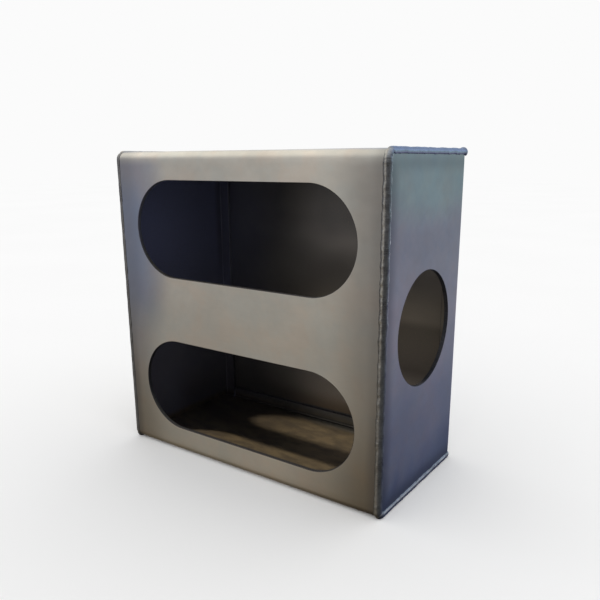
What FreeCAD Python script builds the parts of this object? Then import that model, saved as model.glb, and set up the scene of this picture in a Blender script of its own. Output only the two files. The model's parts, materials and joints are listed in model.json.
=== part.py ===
import FreeCAD, Part
import os
from FreeCAD import Vector

# Welded sheet-steel lamp box for a trailer or truck, bare steel, lamps not fitted.
# One folded sheet makes the front, top and bottom. Two end plates close the sides,
# return lips run round the back, and a flat plate is stitch welded over them.
#
# Frame: millimetres, +Z up, the front faces -Y, +X is the right end.
# Origin: centre of the flat underside that the box rests on.

INCH = 25.4

# 12 gauge sheet, used for every piece.
SHEET = 2.66

# Outside of the box, without the back plate. The lamps need 4 in clear from front to back.
INSIDE_DEPTH = 4.0 * INCH
WIDTH = 8.5 * INCH
HEIGHT = 8.5 * INCH
DEPTH = INSIDE_DEPTH + 2 * SHEET

# Bends, and the lips that run round the back.
FRONT_BEND_INNER = 2.9
LIP_BEND_INNER = 1.0
LIP_WIDTH = 11.0
BEND_RELIEF = 1.2

# Cut-outs for two oval lamps and one round marker lamp, each lamp in a rubber grommet.
OVAL_LENGTH = 179.0
OVAL_HEIGHT = 66.0
OVAL_SPACING = 0.52 * HEIGHT
ROUND_HOLE_DIAMETER = 73.0
RIM_BREAK = 0.4

# The back plate stops short of the box's edges, which leaves a ledge for its welds.
BACK_PLATE_INSET = 6.0
BACK_PLATE_CORNER = 5.0
STITCH_LENGTH = 25.0
STITCH_LEG = 2.1
STITCH_CROWN = 0.58

# Seam weld beads fill the open corner joints and stand a little proud of both faces.
BEAD_RADIUS = 2.9
BEAD_PROUD = 0.7
BEAD_END_RADIUS = 3.0

# Places worked out from the sizes above.
HALF_WIDTH = WIDTH / 2
HALF_DEPTH = DEPTH / 2
MID_HEIGHT = HEIGHT / 2
INSIDE_HALF_WIDTH = HALF_WIDTH - SHEET
FRONT_BEND_OUTER = FRONT_BEND_INNER + SHEET
LIP_BEND_OUTER = LIP_BEND_INNER + SHEET
LIP_EDGE = HALF_WIDTH - LIP_WIDTH
BEAD_INSET = BEAD_RADIUS - BEAD_PROUD

# Cutting tools run past the sheet by this much. Points closer than TOUCHING are one place.
OVERRUN = 20.0
TOUCHING = 1e-4


def block(x_range, y_range, z_range):
    """Box between three (low, high) ranges."""
    size = [high - low for low, high in (x_range, y_range, z_range)]
    corner = Vector(x_range[0], y_range[0], z_range[0])
    return Part.makeBox(size[0], size[1], size[2], corner)


def round_edges(solid, radius, direction, wanted):
    """Round the straight edges along a direction whose midpoints satisfy wanted(point)."""
    chosen = []
    for edge in solid.Edges:
        along = edge.lastVertex().Point - edge.firstVertex().Point
        if along.Length < TOUCHING:
            continue
        parallel = along.cross(direction).Length < TOUCHING
        if parallel and wanted(edge.CenterOfMass):
            chosen.append(edge)
    return solid.makeFillet(radius, chosen)


def tube_core(half_width, thickness, lips):
    """Solid along X that fills the box, set in by thickness all round, with rounded bends.

    With lips it ends inside the back bends. Without lips it runs straight past the back.
    """
    back = HALF_DEPTH - thickness if lips else HALF_DEPTH + OVERRUN
    core = block(
        (-half_width, half_width),
        (-HALF_DEPTH + thickness, back),
        (thickness, HEIGHT - thickness),
    )
    along_x = Vector(1, 0, 0)
    core = round_edges(core, FRONT_BEND_OUTER - thickness, along_x, lambda point: point.y < 0)
    if lips:
        core = round_edges(core, LIP_BEND_OUTER - thickness, along_x, lambda point: point.y > 0)
    return core


def folded_sheet(half_width, lips):
    """Sheet folded round the front, top and bottom, closed across the back when it has lips."""
    outside = tube_core(half_width, 0, lips)
    return outside.cut(tube_core(half_width + 1, SHEET, lips))


def make_oval_cutter(height):
    """Obround prism through the front sheet, centred at the given height."""
    radius = OVAL_HEIGHT / 2
    straight = OVAL_LENGTH / 2 - radius
    front = -HALF_DEPTH - OVERRUN / 2
    cutter = block((-straight, straight), (front, front + OVERRUN), (height - radius, height + radius))
    for side in (-1, 1):
        end = Part.makeCylinder(radius, OVERRUN, Vector(side * straight, front, height), Vector(0, 1, 0))
        cutter = cutter.fuse(end)
    return cutter.removeSplitter()


def break_rims(solid, radius, on_face):
    """Round off the cut-out rims whose edges all lie on one face of the sheet."""
    rims = [edge for edge in solid.Edges if on_face(edge)]
    return solid.makeFillet(radius, rims)


def is_front_rim(edge):
    """True for an edge on the front face that belongs to an oval cut-out."""
    box = edge.BoundBox
    on_front = abs(box.YMin + HALF_DEPTH) < TOUCHING and abs(box.YMax + HALF_DEPTH) < TOUCHING
    reach = OVAL_LENGTH / 2 + 1
    in_width = box.XMin > -reach and box.XMax < reach
    in_height = box.ZMin > FRONT_BEND_OUTER + 1 and box.ZMax < HEIGHT - FRONT_BEND_OUTER - 1
    return on_front and in_width and in_height


def is_side_rim(edge):
    """True for the round cut-out's edge on the outer face of the right end plate."""
    box = edge.BoundBox
    on_side = abs(box.XMin - HALF_WIDTH) < TOUCHING and abs(box.XMax - HALF_WIDTH) < TOUCHING
    round_edge = isinstance(edge.Curve, Part.Circle)
    return on_side and round_edge


def back_zone(half_width, front, heights):
    """Space behind the plane y = front, across half_width each way, between two heights."""
    return block((-half_width, half_width), (front, HALF_DEPTH + 2 * OVERRUN), heights)


def make_front_wrap():
    """Front, top and bottom in one folded sheet, with return lips along the back edges.

    The sheet runs on to the end plates beside the lips, with a narrow relief slot between.
    """
    all_heights = (-OVERRUN, HEIGHT + OVERRUN)
    relief_front = HALF_DEPTH - LIP_BEND_OUTER - BEND_RELIEF
    lip_half = LIP_EDGE - BEND_RELIEF

    wrap = folded_sheet(INSIDE_HALF_WIDTH, False)
    wrap = wrap.cut(back_zone(WIDTH, HALF_DEPTH, all_heights))
    wrap = wrap.cut(back_zone(LIP_EDGE, relief_front, all_heights))

    lips = folded_sheet(lip_half, True).common(back_zone(lip_half, relief_front, all_heights))
    lips = lips.cut(back_zone(WIDTH, 0, (LIP_WIDTH, HEIGHT - LIP_WIDTH)))
    wrap = wrap.fuse(lips).removeSplitter()

    for side in (-1, 1):
        wrap = wrap.cut(make_oval_cutter(MID_HEIGHT + side * OVAL_SPACING / 2))
    return break_rims(wrap, RIM_BREAK, is_front_rim)


def make_end_plate():
    """Right-hand end plate with its back edge bent inwards into a lip. It has no cut-out yet."""
    heights = (SHEET, HEIGHT - SHEET)
    outer = block((LIP_EDGE, HALF_WIDTH), (-HALF_DEPTH + SHEET, HALF_DEPTH), heights)
    inner = block(
        (LIP_EDGE - OVERRUN, HALF_WIDTH - SHEET),
        (-HALF_DEPTH - OVERRUN, HALF_DEPTH - SHEET),
        (SHEET - 1, HEIGHT - SHEET + 1),
    )
    upright = Vector(0, 0, 1)
    outer = round_edges(
        outer, LIP_BEND_OUTER, upright, lambda point: point.x > LIP_EDGE + 1 and point.y > 0
    )
    inner = round_edges(inner, LIP_BEND_INNER, upright, lambda point: point.x > LIP_EDGE and point.y > 0)
    return outer.cut(inner)


def make_right_end_plate():
    """End plate with the round marker lamp cut-out in its middle."""
    radius = ROUND_HOLE_DIAMETER / 2
    start = Vector(HALF_WIDTH - OVERRUN / 2, 0, MID_HEIGHT)
    plate = make_end_plate().cut(Part.makeCylinder(radius, OVERRUN, start, Vector(1, 0, 0)))
    return break_rims(plate, RIM_BREAK, is_side_rim)


def mirror_to_left(solid):
    """Copy of a right-hand piece for the left end."""
    return solid.mirror(Vector(0, 0, 0), Vector(1, 0, 0))


def make_back_plate():
    """Flat plate over the return lips, with rounded corners."""
    plate = block(
        (-HALF_WIDTH + BACK_PLATE_INSET, HALF_WIDTH - BACK_PLATE_INSET),
        (HALF_DEPTH, HALF_DEPTH + SHEET),
        (BACK_PLATE_INSET, HEIGHT - BACK_PLATE_INSET),
    )
    return round_edges(plate, BACK_PLATE_CORNER, Vector(0, 1, 0), lambda point: True)


def make_stitch(middle, along, outward):
    """One short fillet weld in the corner between the back plate's edge and a lip.

    middle is the corner point halfway along it, along is its direction, and outward
    points away from the back plate's middle.
    """
    corner = middle - along * (STITCH_LENGTH / 2)
    lip_toe = corner + outward * STITCH_LEG
    plate_toe = corner + Vector(0, STITCH_LEG, 0)
    crown = corner + (outward + Vector(0, 1, 0)) * (STITCH_CROWN * STITCH_LEG)
    face_curve = Part.Arc(lip_toe, crown, plate_toe).toShape()
    legs = [Part.makeLine(plate_toe, corner), Part.makeLine(corner, lip_toe)]
    section = Part.Face(Part.Wire([face_curve] + legs))
    return section.extrude(along * STITCH_LENGTH)


def make_back_plate_stitch_welds():
    """Two stitches along each edge of the back plate, as separate solids."""
    half_plate = HALF_WIDTH - BACK_PLATE_INSET
    half_tall = MID_HEIGHT - BACK_PLATE_INSET
    x_axis = Vector(1, 0, 0)
    z_axis = Vector(0, 0, 1)
    stitches = []
    for edge in (-1, 1):
        for step in (-1, 1):
            on_side = Vector(edge * half_plate, HALF_DEPTH, MID_HEIGHT + step * HEIGHT / 4)
            on_end = Vector(step * WIDTH / 4, HALF_DEPTH, MID_HEIGHT + edge * half_tall)
            stitches.append(make_stitch(on_side, z_axis, x_axis * edge))
            stitches.append(make_stitch(on_end, x_axis, z_axis * edge))
    return Part.makeCompound(stitches)


def bead_rod(start, end):
    """Round bar between two points on a bead's centre line."""
    run = end - start
    return Part.makeCylinder(BEAD_RADIUS, run.Length, start, run)


def bead_elbow(bottom):
    """Quarter ring of bead round the front bend, at the bottom or the top of the right end."""
    path_radius = FRONT_BEND_OUTER - BEAD_INSET
    y_bend = -HALF_DEPTH + FRONT_BEND_OUTER
    z_bend = FRONT_BEND_OUTER if bottom else HEIGHT - FRONT_BEND_OUTER
    bend_centre = Vector(HALF_WIDTH - BEAD_INSET, y_bend, z_bend)
    face_centre = bend_centre + Vector(0, -path_radius, 0)
    circle = Part.makeCircle(BEAD_RADIUS, face_centre, Vector(0, 0, 1))
    disc = Part.Face(Part.Wire([circle]))
    turn = 90 if bottom else -90
    return disc.revolve(bend_centre, Vector(1, 0, 0), turn)


def trim_bead(bead, plates):
    """Leave only the weld metal that lies outside the sheets, the cavity and the resting plane."""
    cavity = tube_core(INSIDE_HALF_WIDTH, SHEET, True)
    ground = block((-WIDTH, WIDTH), (-DEPTH, DEPTH), (-OVERRUN, 0))
    for other in plates + [cavity, ground]:
        bead = bead.cut(other)
    solids = sorted(bead.Solids, key=lambda solid: solid.Volume)
    return solids[-1]


def make_front_bead(plates):
    """Bead down the upright front corner of the right end."""
    x_line = HALF_WIDTH - BEAD_INSET
    y_line = -HALF_DEPTH + BEAD_INSET
    low = Vector(x_line, y_line, FRONT_BEND_OUTER)
    high = Vector(x_line, y_line, HEIGHT - FRONT_BEND_OUTER)
    return trim_bead(bead_rod(low, high), plates)


def make_cross_bead(bottom, plates):
    """Bead from the front bend to the back along the bottom or top corner of the right end."""
    x_line = HALF_WIDTH - BEAD_INSET
    z_line = BEAD_INSET if bottom else HEIGHT - BEAD_INSET
    front = Vector(x_line, -HALF_DEPTH + FRONT_BEND_OUTER, z_line)
    back = Vector(x_line, HALF_DEPTH - 1, z_line)
    bead = bead_elbow(bottom).fuse(bead_rod(front, back))
    bead = bead.fuse(Part.makeSphere(BEAD_END_RADIUS, back))
    return trim_bead(bead, plates)


def export(shape, node):
    """Write one node's solids to its STEP file."""
    shape.exportStep(os.path.join("parts", node + ".step"))
    print(node, len(shape.Solids), shape.isValid(), round(shape.Volume))


def main():
    os.makedirs("parts", exist_ok=True)
    front_wrap = make_front_wrap()
    right_end_plate = make_right_end_plate()
    left_end_plate = mirror_to_left(make_end_plate())
    back_plate = make_back_plate()
    sheets = {
        "front_wrap": front_wrap,
        "right_end_plate": right_end_plate,
        "left_end_plate": left_end_plate,
        "back_plate": back_plate,
        "back_plate_stitch_welds": make_back_plate_stitch_welds(),
    }
    for node, shape in sheets.items():
        export(shape, node)

    around_beads = [front_wrap, right_end_plate]
    beads = {
        "front_seam_weld": make_front_bead(around_beads),
        "top_seam_weld": make_cross_bead(False, around_beads),
        "bottom_seam_weld": make_cross_bead(True, around_beads),
    }
    for seam, bead in beads.items():
        export(bead, "right_" + seam)
        export(mirror_to_left(bead), "left_" + seam)


main()
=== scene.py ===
import json
import math

import bpy
from mathutils import Matrix, Vector, noise


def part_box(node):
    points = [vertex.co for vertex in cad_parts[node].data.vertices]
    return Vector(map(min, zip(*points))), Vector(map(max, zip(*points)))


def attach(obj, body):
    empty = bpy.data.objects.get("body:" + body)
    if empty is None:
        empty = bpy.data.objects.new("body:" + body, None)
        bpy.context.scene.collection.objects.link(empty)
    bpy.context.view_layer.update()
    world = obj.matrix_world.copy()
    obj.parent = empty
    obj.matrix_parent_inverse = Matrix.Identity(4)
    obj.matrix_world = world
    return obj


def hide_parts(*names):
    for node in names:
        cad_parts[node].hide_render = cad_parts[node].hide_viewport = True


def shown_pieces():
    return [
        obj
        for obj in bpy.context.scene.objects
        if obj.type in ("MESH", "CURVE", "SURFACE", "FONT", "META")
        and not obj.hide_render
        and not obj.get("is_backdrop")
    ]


# Looks of a welded sheet-steel lamp box: folded sheets with cut-outs, rippled weld beads,
# bare steel materials, and a plain pale studio. Metres, in the frame of the CAD model.

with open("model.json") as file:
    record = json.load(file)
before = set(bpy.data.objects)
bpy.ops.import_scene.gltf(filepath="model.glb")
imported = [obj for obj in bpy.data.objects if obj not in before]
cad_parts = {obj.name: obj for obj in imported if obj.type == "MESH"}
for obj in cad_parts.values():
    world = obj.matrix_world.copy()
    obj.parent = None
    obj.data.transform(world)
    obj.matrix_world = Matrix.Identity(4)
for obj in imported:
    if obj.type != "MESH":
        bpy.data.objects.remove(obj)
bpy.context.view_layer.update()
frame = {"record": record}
record = frame["record"]

MM = 0.001

# Sizes read from the frame.
wrap_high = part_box("front_wrap")[1]
plate_low, plate_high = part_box("right_end_plate")
back_low, back_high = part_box("back_plate")
stitch_low, stitch_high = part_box("back_plate_stitch_welds")
HALF_WIDTH = plate_high.x
HALF_DEPTH = wrap_high.y
HEIGHT = wrap_high.z
MID_HEIGHT = HEIGHT / 2
SHEET = back_high.y - back_low.y
WRAP_END = wrap_high.x
LIP_EDGE = plate_low.x
LIP_WIDTH = HALF_WIDTH - LIP_EDGE
MOUNTS = {mount["name"]: mount for mount in record["mounts"]}
HOLE_RADIUS = MOUNTS["side_lamp_hole"]["dims"]["r_mm"] * MM
OVAL_HEIGHTS = [MOUNTS[name]["pos_m"][2] for name in ("lower_lamp_cutout", "upper_lamp_cutout")]

# Sizes that the frame doesn't state, the same as the CAD model's: the bends' outer radii, the
# notch beside each lip, the oval cut-outs' end radius and half their straight length, and the
# back plate's corner radius.
FRONT_BEND = 2.9 * MM + SHEET
LIP_BEND = 1.0 * MM + SHEET
BEND_RELIEF = 1.2 * MM
OVAL_RADIUS = 33.0 * MM
OVAL_STRAIGHT = 56.5 * MM
BACK_CORNER = 5.0 * MM

# How finely the sheets are divided. Points closer than MERGE are one point, and ROUNDING keeps
# a rounding error from adding a cell.
CELL = 3.0 * MM
MERGE = 0.001 * MM
ROUNDING = 1e-6
BEND_STEPS = 8
CORNER_STEPS = 4

# Rings between a cut-out's rim and the cells round it, as shares of the way out.
RING_SHARES = (0.0, 0.04, 0.1, 0.2, 0.35, 0.55, 0.78, 1.0)

# Places of a sheet's materials: outer face, inner face and cut edges.
OUTER, INNER, CUT = 0, 1, 2

# How the cut edges are rounded.
EDGE_BREAK = 0.35 * MM
EDGE_BREAK_STEPS = 3
SHARP_ANGLE = math.radians(50)

# Seam distance given to a sheet that no seam touches.
FAR_FROM_SEAMS = 40 * MM


def steps(low, high, size):
    """Evenly spaced values from low to high, at most size apart."""
    count = max(1, math.ceil((high - low) / size - ROUNDING))
    return [low + (high - low) * i / count for i in range(count + 1)]


def bend_steps(start, length):
    """Evenly spaced values through a bend."""
    return [start + length * i / BEND_STEPS for i in range(BEND_STEPS + 1)]


def joined(*runs):
    """One rising list from runs whose ends meet."""
    values = []
    for run in runs:
        values.extend(run if not values else run[1:])
    return values


class FlatPattern:
    """A sheet before folding: points (u, v) and the faces between them."""

    def __init__(self):
        self.points = []
        self.faces = []
        self.known = {}

    def point(self, u, v):
        key = (round(u / MERGE), round(v / MERGE))
        if key not in self.known:
            self.known[key] = len(self.points)
            self.points.append((u, v))
        return self.known[key]

    def face(self, corners):
        self.faces.append([self.point(u, v) for u, v in corners])

    def grid(self, us, vs):
        """Quads over a rectangle."""
        for u0, u1 in zip(us, us[1:]):
            for v0, v1 in zip(vs, vs[1:]):
                self.face([(u0, v0), (u1, v0), (u1, v1), (u0, v1)])

    def cut_cell(self, us, vs, centre, straight, radius):
        """Quads between a rectangle's edge and the obround or round hole inside it."""
        edge = [(u, vs[0]) for u in us[:-1]]
        edge += [(us[-1], v) for v in vs[:-1]]
        edge += [(u, vs[-1]) for u in reversed(us[1:])]
        edge += [(us[0], v) for v in reversed(vs[1:])]
        rings = []
        for share in RING_SHARES[:-1]:
            ring = []
            for u, v in edge:
                core_u = centre[0] + max(-straight, min(straight, u - centre[0]))
                away = math.atan2(v - centre[1], u - core_u)
                rim_u = core_u + radius * math.cos(away)
                rim_v = centre[1] + radius * math.sin(away)
                ring.append((rim_u + (u - rim_u) * share, rim_v + (v - rim_v) * share))
            rings.append(ring)
        rings.append(edge)
        count = len(edge)
        for inner, outer in zip(rings, rings[1:]):
            for i in range(count):
                j = (i + 1) % count
                self.face([outer[i], outer[j], inner[j], inner[i]])


def open_edges(faces):
    """Directed edges, (from, to), that belong to one face only."""
    seen = set()
    for face in faces:
        for a, b in zip(face, face[1:] + face[:1]):
            seen.add((a, b))
    return [(a, b) for a, b in sorted(seen) if (b, a) not in seen]


def add_object(name, points, faces, materials, material_of=None):
    """New mesh object in the scene, smooth shaded."""
    mesh = bpy.data.meshes.new(name)
    mesh.from_pydata([tuple(point) for point in points], [], faces)
    for material in materials:
        mesh.materials.append(material)
    if material_of:
        mesh.polygons.foreach_set("material_index", material_of)
    mesh.polygons.foreach_set("use_smooth", [True] * len(mesh.polygons))
    mesh.update()
    piece = bpy.data.objects.new(name, mesh)
    bpy.context.scene.collection.objects.link(piece)
    return piece


def mark_points(piece, name, values):
    """Stores one value per point, for the materials to read."""
    marks = piece.data.attributes.new(name, "FLOAT", "POINT")
    marks.data.foreach_set("value", values)


def place_piece(piece, node):
    """Puts a piece in the place of a CAD node, on the only body."""
    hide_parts(node)
    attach(piece, "root")


def break_edges(piece):
    """Rounds the sheet's cut edges a little, as a deburred laser cut is."""
    bevel = piece.modifiers.new("edge_break", "BEVEL")
    bevel.width = EDGE_BREAK
    bevel.segments = EDGE_BREAK_STEPS
    bevel.limit_method = "ANGLE"
    bevel.angle_limit = SHARP_ANGLE
    bevel.harden_normals = True
    bevel.material = CUT
    bevel.use_clamp_overlap = True


def fold_sheet(name, flat, fold, seam_distance, mirrored=False):
    """Solid sheet from a flat pattern.

    fold(u, v) gives the outer face's place and outward normal, and seam_distance(place) the
    distance to the nearest weld seam.
    """
    outer, inner, distances = [], [], []
    for u, v in flat.points:
        place, normal = fold(u, v)
        distance = seam_distance(place)
        warped = place + normal * sheet_warp(place, distance)
        outer.append(warped)
        inner.append(warped - normal * SHEET)
        distances.append(distance)
    count = len(outer)
    faces = [list(face) for face in flat.faces]
    faces += [[i + count for i in reversed(face)] for face in flat.faces]
    rims = open_edges(flat.faces)
    faces += [[b, a, a + count, b + count] for a, b in rims]
    kinds = [OUTER] * len(flat.faces) + [INNER] * len(flat.faces) + [CUT] * len(rims)
    if mirrored:
        faces = [face[::-1] for face in faces]
    piece = add_object(name, outer + inner, faces, SHEET_MATERIALS, kinds)
    mark_points(piece, "seam_distance", distances + distances)
    break_edges(piece)
    return piece


# Weld heat pulls the sheet in a little along the seams, and rolled sheet is never quite flat.
SEAM_PULL = 0.16 * MM
SEAM_PULL_REACH = 16 * MM
WAVE_SIZE = 75 * MM
WAVE_HEIGHT = 0.10 * MM
WAVE_SEED = Vector((3.1, 7.7, 1.3))
DIMPLE_SIZE = 22 * MM
DIMPLE_HEIGHT = 0.018 * MM
DIMPLE_SEED = Vector((9.2, 0.4, 5.8))


def sheet_warp(place, distance):
    """How far a point on a sheet stands off its flat place."""
    pull = -SEAM_PULL * math.exp(-((distance / SEAM_PULL_REACH) ** 2))
    wave = WAVE_HEIGHT * noise.noise(place / WAVE_SIZE + WAVE_SEED)
    dimple = DIMPLE_HEIGHT * noise.noise(place / DIMPLE_SIZE + DIMPLE_SEED)
    return pull + wave + dimple


# ---------------------------------------------------------------------------------------
# Materials
# ---------------------------------------------------------------------------------------


class Nodes:
    """Short ways to add shader nodes to one node tree."""

    def __init__(self, tree):
        self.tree = tree
        tree.nodes.clear()

    def add(self, kind, **settings):
        node = self.tree.nodes.new(kind)
        for key, value in settings.items():
            setattr(node, key, value)
        return node

    def put(self, target, value):
        """Connects a socket to an input, or sets the input to a plain value."""
        if isinstance(value, bpy.types.NodeSocket):
            self.tree.links.new(value, target)
        elif isinstance(value, (tuple, list)) and len(value) == 3 and target.type == "RGBA":
            target.default_value = (*value, 1.0)
        else:
            target.default_value = value

    def math(self, operation, a, b, c=0.0):
        node = self.add("ShaderNodeMath", operation=operation)
        for socket, value in zip(node.inputs, (a, b, c)):
            self.put(socket, value)
        return node.outputs[0]

    def product(self, first, *others):
        for other in others:
            first = self.math("MULTIPLY", first, other)
        return first

    def rest_of(self, share):
        """What a share leaves of 1."""
        return self.math("SUBTRACT", 1.0, share)

    def span(self, value, low, high, to_low=0.0, to_high=1.0):
        """Smooth step of value from low to high."""
        node = self.add("ShaderNodeMapRange", interpolation_type="SMOOTHSTEP", clamp=True)
        for key, put in (
            ("Value", value),
            ("From Min", low),
            ("From Max", high),
            ("To Min", to_low),
            ("To Max", to_high),
        ):
            self.put(node.inputs[key], put)
        return node.outputs[0]

    def mix(self, share, a, b, blend="MIX"):
        node = self.add("ShaderNodeMix", data_type="RGBA", blend_type=blend, clamp_factor=True)
        self.put(node.inputs[0], share)
        self.put(node.inputs[6], a)
        self.put(node.inputs[7], b)
        return node.outputs[2]

    def ramp(self, value, stops):
        """Colour by value; stops are (position, colour) pairs."""
        node = self.add("ShaderNodeValToRGB")
        node.color_ramp.interpolation = "EASE"
        elements = node.color_ramp.elements
        while len(elements) < len(stops):
            elements.new(0.5)
        for element, (position, colour) in zip(elements, stops):
            element.position = position
            element.color = (*colour, 1.0)
        self.put(node.inputs[0], value)
        return node.outputs[0]

    def noise(self, vector, scale, detail=3.0, roughness=0.55):
        node = self.add("ShaderNodeTexNoise")
        self.put(node.inputs["Vector"], vector)
        node.inputs["Scale"].default_value = scale
        node.inputs["Detail"].default_value = detail
        node.inputs["Roughness"].default_value = roughness
        return node.outputs[0]

    def stretch(self, vector, factors):
        node = self.add("ShaderNodeMapping")
        self.put(node.inputs["Vector"], vector)
        node.inputs["Scale"].default_value = factors
        return node.outputs[0]

    def place(self):
        return self.add("ShaderNodeTexCoord").outputs["Object"]

    def parts(self, vector):
        node = self.add("ShaderNodeSeparateXYZ")
        self.put(node.inputs[0], vector)
        return node.outputs

    def ray_is(self, kind):
        """1 for rays of a kind, such as Glossy or Camera, and 0 for the others."""
        return self.add("ShaderNodeLightPath").outputs[f"Is {kind} Ray"]

    def attribute(self, name):
        return self.add("ShaderNodeAttribute", attribute_name=name).outputs["Fac"]

    def bump(self, height, strength, distance):
        node = self.add("ShaderNodeBump")
        node.inputs["Strength"].default_value = strength
        node.inputs["Distance"].default_value = distance
        self.put(node.inputs["Height"], height)
        return node.outputs[0]

    def output(self, shader, kind="ShaderNodeOutputMaterial"):
        """Makes a shader the one that is seen."""
        self.put(self.add(kind).inputs["Surface"], shader.outputs[0])

    def surface(self, colour, roughness, metallic, normal):
        shader = self.add("ShaderNodeBsdfPrincipled")
        self.put(shader.inputs["Base Color"], colour)
        self.put(shader.inputs["Roughness"], roughness)
        self.put(shader.inputs["Metallic"], metallic)
        self.put(shader.inputs["Normal"], normal)
        self.output(shader)


def grey(level):
    """A colour without hue."""
    return (level, level, level)


def new_material(name):
    material = bpy.data.materials.new(name)
    material.use_nodes = True
    return material, Nodes(material.node_tree)


def rolled_colour(n, place, cloud, blotch, grain, speckle):
    """Colour of bare rolled sheet: soft clouds, grain, faint warm and cool areas, dark specks."""
    base = n.ramp(cloud, [(0.3, (0.52, 0.52, 0.515)), (0.7, (0.63, 0.625, 0.615))])
    base = n.mix(n.span(blotch, 0.35, 0.75, 0.0, 0.35), base, (0.47, 0.46, 0.45))
    base = n.mix(n.span(grain, 0.3, 0.8, 0.0, 0.14), base, (0.68, 0.67, 0.65))
    hue = n.ramp(n.noise(place, 42.0, 3.0, 0.6), [
        (0.36, (0.93, 0.95, 0.945)),
        (0.5, (0.97, 0.96, 0.935)),
        (0.64, (1.0, 0.95, 0.905)),
    ])
    base = n.mix(1.0, base, hue, "MULTIPLY")
    return n.mix(n.span(speckle, 0.55, 0.8, 0.0, 0.18), base, (0.30, 0.29, 0.28))


def heat_tint_and_painted_reflections(n, base, place, blotch, right_end):
    """Heat tint and painted light on the sheet: a tint beside the seams that is partly heat tint and
    partly painted shade, a painted blue reflection at the upper left of the front, a painted brown
    reflection at its foot, and a narrow dark band along the seams, darker towards the foot."""
    x, y, z = n.parts(place)
    on_front = n.span(y, -HALF_DEPTH + 7 * MM, -HALF_DEPTH + 2 * MM)
    upper_left = n.product(n.span(x, -30 * MM, -90 * MM), n.span(z, 70 * MM, 130 * MM), on_front)
    wander = n.product(n.math("SUBTRACT", blotch, 0.5), 5 * MM)
    seam = n.math("ADD", n.attribute("seam_distance"), wander)
    # Painted blue reflection: the seam tint reaches further in at the upper left of the front.
    near = n.product(seam, n.span(upper_left, 0.0, 1.0, 1.0, 0.5))

    # Painted blue reflection to the left, grey to the right.
    upper_tint = n.mix(n.span(x, -50 * MM, 50 * MM), (0.17, 0.205, 0.36), (0.165, 0.162, 0.175))
    tint = n.mix(n.span(z, 20 * MM, 150 * MM), (0.16, 0.14, 0.11), upper_tint)
    # Partly heat tint and partly painted shade beside the seams, weaker on the top bend so that the
    # bend's highlight stays bright.
    below_top = n.span(z, HEIGHT - 10 * MM, HEIGHT - 3 * MM, 1.0, 0.2)
    base = n.mix(n.product(n.span(near, 6 * MM, 42 * MM, 0.56, 0.0), below_top), base, tint)

    # Painted brown reflection at the foot of the front, near the seams, stronger to the right and not
    # on the right end.
    low = n.product(n.span(near, 85 * MM, 8 * MM), n.span(z, 75 * MM, 8 * MM, 0.0, 0.55))
    low = n.product(low, n.span(x, -60 * MM, 30 * MM, 0.4, 1.0), n.rest_of(right_end))
    base = n.mix(low, base, (0.15, 0.12, 0.08))

    # Painted blue reflection on the upper left of the front.
    blue_rows = n.product(n.span(z, 90 * MM, 125 * MM), n.span(z, 205 * MM, 175 * MM))
    painted_blue_reflection = n.product(n.span(x, -65 * MM, -95 * MM), blue_rows, on_front)
    base = n.mix(painted_blue_reflection, base, (0.82, 0.92, 1.08), "MULTIPLY")

    # A narrow dark band along the seams, darker towards the foot and weaker on the right end.
    seam_dark_band = n.product(
        n.span(near, 4 * MM, 12 * MM, 1.0, 0.0),
        n.span(z, 90 * MM, 40 * MM, 0.26, 0.60),
        n.span(right_end, 0.0, 1.0, 1.0, 0.5),
    )
    return n.mix(seam_dark_band, base, (0.13, 0.125, 0.13))


def painted_side_reflection(n, base, place, cloud):
    """Painted reflection on the right end, by height: blue at the foot, straw halfway, violet and
    green above.
    """
    height = n.parts(place)[2]
    wander = n.product(n.math("SUBTRACT", cloud, 0.5), 50 * MM)
    side_reflection = n.ramp(n.math("DIVIDE", n.math("ADD", height, wander), HEIGHT), [
        (0.05, (0.51, 0.56, 0.67)),
        (0.20, (0.77, 0.79, 0.84)),
        (0.48, (1.0, 0.95, 0.93)),
        (0.62, (0.90, 0.84, 0.86)),
        (0.78, (0.80, 0.72, 0.78)),
        (0.90, (0.78, 0.82, 0.80)),
    ])
    # Painted light: the whole right end is made lighter.
    brighter = n.mix(1.0, base, (1.32, 1.32, 1.31), "MULTIPLY")
    return n.mix(1.0, brighter, side_reflection, "MULTIPLY")


def steel_outside():
    """Bare rolled sheet: satin, with a fine grain across it, coloured partly by the welds' heat and
    partly by painted reflections and painted shade.
    """
    material, n = new_material("bare_steel_outside")
    place = n.place()
    cloud = n.noise(place, 14.0, 4.0, 0.6)
    blotch = n.noise(place, 55.0, 4.0, 0.65)
    grain = n.noise(n.stretch(place, (60.0, 500.0, 900.0)), 1.0, 3.0, 0.6)
    speckle = n.noise(place, 2600.0, 2.0, 0.6)
    right_end = n.math("GREATER_THAN", n.parts(place)[0], HALF_WIDTH - SHEET / 2)

    base = rolled_colour(n, place, cloud, blotch, grain, speckle)
    base = heat_tint_and_painted_reflections(n, base, place, blotch, right_end)
    base = n.mix(right_end, base, painted_side_reflection(n, base, place, cloud))

    rough = n.math("ADD", n.span(blotch, 0.2, 0.8, 0.34, 0.44), n.span(grain, 0.3, 0.7, -0.02, 0.03))
    height = n.math("ADD", n.product(grain, 0.6), n.product(speckle, 0.4))
    n.surface(base, rough, 1.0, n.bump(height, 0.25, 0.03 * MM))
    return material


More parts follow.
